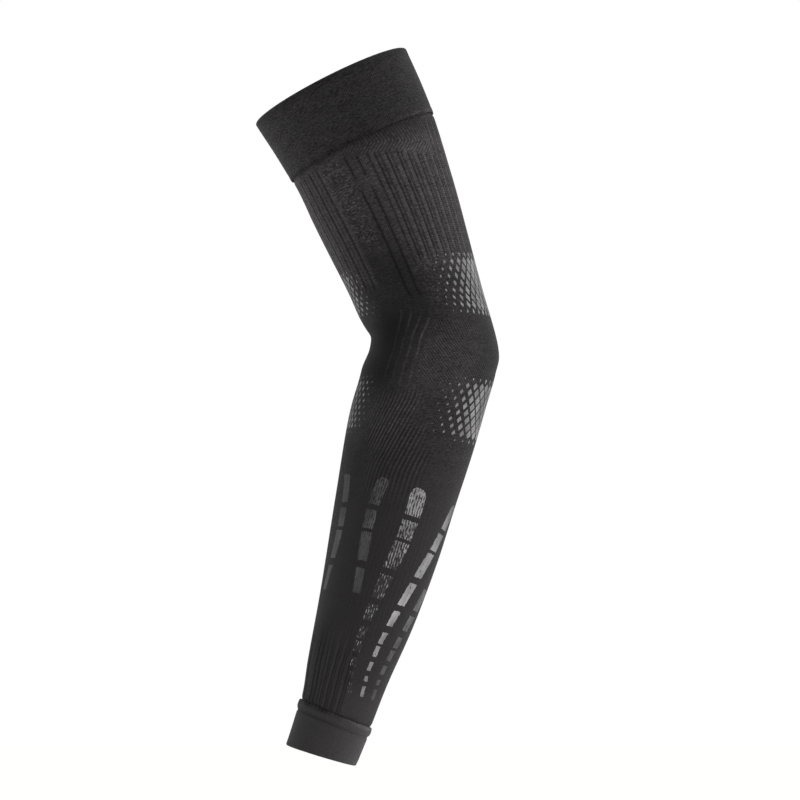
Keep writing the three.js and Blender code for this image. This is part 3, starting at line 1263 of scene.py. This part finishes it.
    def outer_panel(self) -> KnittedPanel:
        """Lays out the ribbed outer face.

        Returns:
            The outer panel, with its masks.
        """
        along = self.rows()[:, None]
        wales = self.columns()[None, :]
        degrees = self.swept(along, wales)
        folded = fold_angle(degrees)
        free = self.free(along)
        knits = self.knit_masks(along, wales)
        plain = free * (1 - knits[FineKnit.CHEVRON.value])
        ribs = self.relief(along, fold_angle(wales)) * plain
        pressed = (self.tucked_wall - self.wall) * (1 - free)
        points = self.form.place(along, degrees, pressed + ribs + self.folds(along, folded) * free)
        # Painted shade in the furrows, times the painted light and shade of the knit zones.
        raised = np.clip(self.crest_tone + self.furrow_shade * ribs, 0, 1)
        masks = {
            "painted_light_and_shade": raised * (1 - knits.pop(FineKnit.DENSE.value)),
            "grain": 1 - self.grain_loss * smoothstep(*self.grain_span, along),
        }
        masks |= knits | self.design.masks(along, folded)
        return KnittedPanel("arm_tube_knit", points, wales / 360, 1 - share_of(along), masks)

    def inner_panel(self, masks: dict[str, np.ndarray]) -> KnittedPanel:
        """Lays out the plain inner face, with no print.

        Args:
            masks: The outer face's masks, which the inner face needs by name.

        Returns:
            The inner panel.
        """
        along = np.linspace(self.rows()[0], self.rows()[-1], self.lining_rows)[:, None]
        degrees = np.linspace(360.0, 0.0, self.lining_columns + 1)[None, :]
        offset = self.folds(along, fold_angle(degrees)) * self.free(along) - self.wall
        points = self.form.place(along, degrees, offset)
        tones = {"dash_edge": FAR_OUTSIDE, "painted_light_and_shade": self.lining_crest, "grain": self.lining_grain}
        plain = {name: np.full((1, 1), tones.get(name, 0.0)) for name in masks}
        return KnittedPanel("lining", points, degrees / 360, 1 - share_of(along), plain)

    def build(self) -> bpy.types.Object:
        """Wraps both faces and joins them at the tucked ends into one wall.

        Returns:
            The tube.
        """
        outer = self.outer_panel()
        inner = self.inner_panel(outer.masks)
        inner_face = inner.build()
        tube = outer.build()
        inner_face.select_set(True)
        bpy.context.view_layer.objects.active = tube
        bpy.ops.object.join()
        for at_top in (True, False):
            self.close_end(tube, at_top)
        return tube

    def close_end(self, tube: bpy.types.Object, at_top: bool) -> None:
        """Bridges the two open edges at one end of the tube.

        Args:
            tube: The joined faces.
            at_top: Whether it is the upper end.
        """
        mesh = tube.data
        corner_edge = read_all(mesh.loops, "edge_index", int)[:, 0]
        is_open = np.bincount(corner_edge, minlength=len(mesh.edges)) == 1
        first_end = read_all(mesh.edges, "vertices", int, 2)[:, 0]
        height = read_all(mesh.vertices, "co", float, 3)[first_end, 2]
        middle = CAD_BOX[0][2] / 2 + CAD_BOX[1][2] / 2
        chosen = is_open & ((height > middle) == at_top)
        bpy.ops.object.mode_set(mode="EDIT")
        bpy.ops.mesh.select_mode(type="EDGE")
        bpy.ops.mesh.select_all(action="DESELECT")
        bpy.ops.object.mode_set(mode="OBJECT")
        mesh.edges.foreach_set("select", chosen)
        bpy.ops.object.mode_set(mode="EDIT")
        bpy.ops.mesh.bridge_edge_loops()
        bpy.ops.object.mode_set(mode="OBJECT")

    def add(self, finish: KnitFinish) -> None:
        """Builds the tube and dresses it."""
        finish_piece(self.build(), finish, "arm_tube")


@dataclass
class FoldedBand:
    """A strip of plain knit folded at the rim, its two plies parted to take the tube's end."""

    tube: ArmTube
    end: BandEnd
    slot: str
    rim: str
    seam: str
    roll_height: float
    roll_length: float
    scallop_pitch: float
    grain: float
    # Painted light and shade: rear_light paints the rear paler than the front, or darker where it is
    # negative; edge_light paints the rear and front edges paler; rim_shade paints shade along the rim;
    # roll_shade paints shade in the line under the roll.
    rear_light: float
    edge_light: float
    rim_shade: float
    roll_shade: float
    flat: tuple[float, float]
    ply: float = 1.0
    wall: float = 2.2
    seam_gap: float = 0.3
    roll_fullness: float = 0.6
    line_width: float = 0.9
    line_depth: float = 0.95
    scallop: float = 0.6
    knot_middle: float = 0.55
    knot_swing: float = 0.45
    knot_lengths: tuple[float, float] = (0.7, 1.1)
    edge_strip: float = 3.0
    uneven_height: float = 0.14
    uneven_lobes: int = 3
    uneven_lengths: tuple[float, float] = (9.0, 13.0)
    plain_tone: float = 0.6
    rim_span: tuple[float, float] = (4.0, 7.0)
    stitch_span: tuple[float, float] = (2.6, 1.2)
    # The seam's stitches are painted pale on the rear and dark on the front: painted light and shade over
    # their uneven tone.
    seam_shade: float = 0.5
    seam_light: float = 1.9
    seam_turn: float = 0.3
    shade_rise: float = 2.0
    row: float = 1.0
    inner_row: float = 2.0
    fold_steps: int = 9
    columns: int = 360

    def __post_init__(self) -> None:
        """Measures the band between its rim and its seam."""
        self.form = self.tube.form
        self.rim_at = self.form.along(self.rim)
        self.seam_at = self.form.along(self.seam)
        self.length = abs(self.seam_at - self.rim_at)

    def under_roll(self, from_rim: np.ndarray) -> np.ndarray:
        """Weighs the line that is pressed in where the roll at the seam ends, from 0 to 1."""
        away = (self.length - from_rim - self.roll_length) / self.line_width
        return np.exp(-(away**2))

    def profile(self) -> np.ndarray:
        """Gives the strip's middle line from the outer ply's seam edge round the fold and back.

        Returns:
            Distances from the rim and heights over the tube's outer face, in mm.
        """
        outer = self.tube.tucked_wall - self.tube.wall + self.seam_gap + self.ply / 2
        turn = (self.wall - self.ply) / 2
        inner = outer - 2 * turn
        parted = -self.tube.wall - self.seam_gap - self.ply / 2
        bend = turn + self.ply / 2
        out = np.linspace(self.length, bend, round((self.length - bend) / self.row))
        roll_at = np.clip((self.length - out) / self.roll_length, 0, 1)
        roll = self.roll_height * np.sin(np.pi * roll_at) ** self.roll_fullness
        line = self.line_depth * self.roll_height * self.under_roll(out)
        outer_ply = np.stack([out, outer + roll - line], axis=-1)
        angle = np.linspace(0, np.pi, self.fold_steps)[1:-1]
        fold = np.stack([bend - turn * np.sin(angle), outer - turn + turn * np.cos(angle)], axis=-1)
        back = np.linspace(bend, self.length, round((self.length - bend) / self.inner_row))
        mouth = self.length - self.tube.seam_lap - self.seam_gap
        part = smoothstep(mouth - self.tube.seam_lap, mouth, back)
        inner_ply = np.stack([back, inner + (parted - inner) * part], axis=-1)
        return np.concatenate([outer_ply, fold, inner_ply])

    def painted_light_and_shade(self, from_rim: np.ndarray, degrees: np.ndarray, knots: np.ndarray) -> np.ndarray:
        """Works out the strip's tone, with its painted light and shade.

        Args:
            from_rim: Distances from the rim, in mm.
            degrees: Angles round the arm.
            knots: How much the seam's stitches stand out at each angle.

        Returns:
            The tone, with painted shade at the rim and under the roll, painted light and shade
            from the rear to the front and at the edges, and the seam's stitches painted pale on the rear
            and dark on the front.
        """
        stitch_start, stitch_full = (self.length - reach for reach in self.stitch_span)
        seam_line = smoothstep(stitch_start, stitch_full, from_rim) * knots
        rim_strip = 1 - smoothstep(*self.rim_span, from_rim)
        rear = np.cos(np.radians(degrees))
        pale = self.seam_light * np.clip(rear - self.seam_turn, 0, 1)
        dark = self.seam_shade * np.clip(self.shade_rise * (self.seam_turn - rear), 0, 1)
        shade = self.rim_shade * rim_strip + self.roll_shade * self.under_roll(from_rim)
        light = self.rear_light * rear + self.edge_light * rear**2
        return self.plain_tone + light - shade + seam_line * (pale - dark)

    def panel(self) -> KnittedPanel:
        """Lays out the folded strip.

        Returns:
            The strip, with its masks.
        """
        profile = self.profile()
        from_rim, height = profile.T[..., None]
        towards_seam = math.copysign(1.0, self.seam_at - self.rim_at)
        degrees = np.linspace(0.0, 360.0, self.columns + 1)[None, :]
        if towards_seam > 0:
            degrees = degrees[:, ::-1]
        arc = np.radians(degrees) * self.form.radius(np.array(self.seam_at))
        scallops = self.scallop * np.abs(np.sin(np.pi * arc / self.scallop_pitch))
        short, long = self.knot_lengths
        knots = self.knot_middle + self.knot_swing * np.sin(arc / short) * np.sin(arc / long)
        at_edge = smoothstep(self.length - self.edge_strip, self.length, from_rim)
        along = self.rim_at + towards_seam * (from_rim - scallops * knots * at_edge)
        ripple, swell = self.uneven_lengths
        uneven = self.uneven_height * np.sin(np.radians(self.uneven_lobes * degrees) + along / ripple)
        uneven = uneven * np.sin(along / swell)
        inside = within(from_rim, self.edge_strip, self.length - self.edge_strip, self.edge_strip)
        points = self.form.place(along, degrees, height + uneven * inside)
        steps = np.linalg.norm(np.diff(profile, axis=0), axis=1)
        path = np.concatenate([[0.0], np.cumsum(steps)])[:, None]
        masks = {"painted_light_and_shade": self.painted_light_and_shade(from_rim, degrees, knots), "grain": np.full((1, 1), self.grain)}
        return KnittedPanel(f"{self.end.value}_knit", points, degrees / 360, share_of(path), masks)

    def build(self) -> bpy.types.Object:
        """Wraps the folded strip and gives it the thickness of its cloth.

        Returns:
            The band.
        """
        band = self.panel().build()
        thicken = band.modifiers.new("cloth", "SOLIDIFY")
        thicken.thickness = self.ply * MM
        thicken.offset = 0.0
        thicken.use_even_offset = True
        bpy.ops.object.modifier_apply(modifier=thicken.name)
        return band

    def add(self, finish: KnitFinish) -> None:
        """Builds the band and dresses it."""
        finish_piece(self.build(), finish, self.end.value)


@dataclass(frozen=True)
class Softbox:
    """One soft studio light that faces the sleeve, with sizes in metres and power in watts."""

    name: str
    place: tuple[float, float, float]
    width: float
    height: float
    power: float


@dataclass
class Studio:
    """The pale floor, the soft light and the camera at the photograph's angle, in metres."""

    aim: tuple[float, float, float] = (0.0411, 0.0, -0.1875)
    distance: float = 2.17
    elevation: float = -4.0
    view_width: float = 0.48
    sensor_width: float = 36.0
    floor_height: float = -0.55
    floor_size: float = 12.0
    floor_paint: PaintFinish = PaintFinish("pale floor paint", "#f1f0ee")
    room_colour: str = "#ffffff"
    near_light: float = 0.25
    far_light: float = 0.95
    top_light: float = 0.7
    brightest_from: tuple[float, float, float] = (0.3, 0.95, 0.0)
    dimmest_at: float = -1.0
    brightest_at: float = 0.6
    softboxes: tuple[Softbox, ...] = (
        Softbox("left softbox", (-1.5, 0.5, -0.3), 0.7, 1.2, 3.0),
        Softbox("right softbox", (1.5, 0.3, 0.0), 0.7, 1.6, 6.0),
    )

    def build(self) -> None:
        """Sets up the room, the lights and the camera."""
        scene = bpy.context.scene
        scene.view_settings.view_transform = "Standard"
        self.room()
        for softbox in self.softboxes:
            self.light(softbox)
        scene.camera = self.camera()

    def room(self) -> None:
        """Lays the floor and lights the room."""
        bpy.ops.object.select_all(action="DESELECT")
        bpy.ops.mesh.primitive_plane_add(size=self.floor_size, location=(0, 0, self.floor_height))
        floor = bpy.context.object
        floor.name = "studio_floor"
        floor.data.materials.append(self.floor_paint.make())
        bpy.context.scene.world = self.world()

    def world(self) -> bpy.types.World:
        """Makes a white room whose light is dimmest from the camera's side.

        Returns:
            The world.
        """
        world = bpy.data.worlds.new("white room")
        world.use_nodes = True
        tree = world.node_tree
        tree.nodes.clear()
        facing = add_node(tree, "TexCoord", output="Generated")
        height = add_node(tree, "SeparateXYZ", {0: facing}, output="Z")
        sides = {0: facing, 1: self.brightest_from}
        turned = add_node(tree, "VectorMath", sides, output="Value", operation="DOT_PRODUCT")
        span = {"From Min": self.dimmest_at, "From Max": self.brightest_at}
        lights = {"To Min": self.near_light, "To Max": self.far_light}
        behind = add_node(tree, "MapRange", {"Value": turned, **span, **lights})
        above = add_node(tree, "MapRange", {"Value": height, "To Max": self.top_light})
        falling = add_node(tree, "Math", {0: behind, 1: above}, operation="ADD")
        seen = add_node(tree, "LightPath", output="Is Camera Ray")
        strength = add_node(tree, "Mix", {"Factor": seen, 2: falling, 3: 1.0}, data_type="FLOAT")
        background = add_node(tree, "Background", {"Color": linear(self.room_colour), "Strength": strength})
        output = tree.nodes.new("ShaderNodeOutputWorld")
        tree.links.new(background, output.inputs["Surface"])
        return world

    def light(self, softbox: Softbox) -> None:
        """Hangs a softbox that faces the sleeve.

        Args:
            softbox: The light to hang.
        """
        bpy.ops.object.light_add(type="AREA", location=softbox.place)
        lamp = bpy.context.object
        lamp.name = softbox.name
        lamp.data.shape = "RECTANGLE"
        lamp.data.size = softbox.width
        lamp.data.size_y = softbox.height
        lamp.data.energy = softbox.power
        facing = Vector(self.aim) - Vector(softbox.place)
        lamp.rotation_euler = facing.to_track_quat("-Z", "Y").to_euler()

    def camera(self) -> bpy.types.Object:
        """Sets the camera low, looking up a little at the middle of the sleeve.

        Returns:
            The camera.
        """
        tilt = math.radians(self.elevation)
        away = Vector((0.0, -math.cos(tilt), math.sin(tilt))) * self.distance
        bpy.ops.object.camera_add(
            location=Vector(self.aim) + away, rotation=(math.pi / 2 - tilt, 0.0, 0.0)
        )
        camera = bpy.context.object
        camera.data.sensor_width = self.sensor_width
        camera.data.lens = self.sensor_width * self.distance / self.view_width
        return camera


def main() -> None:
    """Builds the sleeve piece by piece, then the studio round it."""
    logging.basicConfig(level=logging.INFO, format="%(name)s %(message)s")
    form = ArmForm(SECTIONS)
    design = PrintDesign(form)
    tube = ArmTube(form, design)
    rib_knit = PrintedRibFinish(
        name="black rib knit",
        yarn="#656263",
        shade="#0e0d0e",
        girth=265.0,
        length=368.0,
        design=design,
    )
    tube.add(rib_knit)
    upper_band = FoldedBand(
        tube,
        BandEnd.UPPER,
        slot="band_knit",
        rim="upper rim",
        seam="upper seam",
        roll_height=0.1,
        roll_length=4.0,
        scallop_pitch=3.4,
        grain=1.3,
        rear_light=-0.02,
        edge_light=0.13,
        rim_shade=0.12,
        roll_shade=0.0,
        flat=(0.253, 0.083),
    )
    band_knit = KnitFinish(
        name="black jersey band", yarn="#5c595b", shade="#0e0d0e", girth=285.0, length=88.0
    )
    upper_band.add(band_knit)
    wrist_cuff = FoldedBand(
        tube,
        BandEnd.WRIST,
        slot="cuff_knit",
        rim="wrist rim",
        seam="wrist seam",
        roll_height=0.65,
        roll_length=6.0,
        scallop_pitch=2.2,
        grain=0.25,
        rear_light=0.36,
        edge_light=0.06,
        rim_shade=0.0,
        roll_shade=0.2,
        flat=(0.129, 0.053),
    )
    cuff_knit = KnitFinish(
        name="black jersey cuff", yarn="#777476", shade="#121112", girth=155.0, length=52.0
    )
    wrist_cuff.add(cuff_knit)
    Studio().build()


if __name__ == "__main__":
    main()
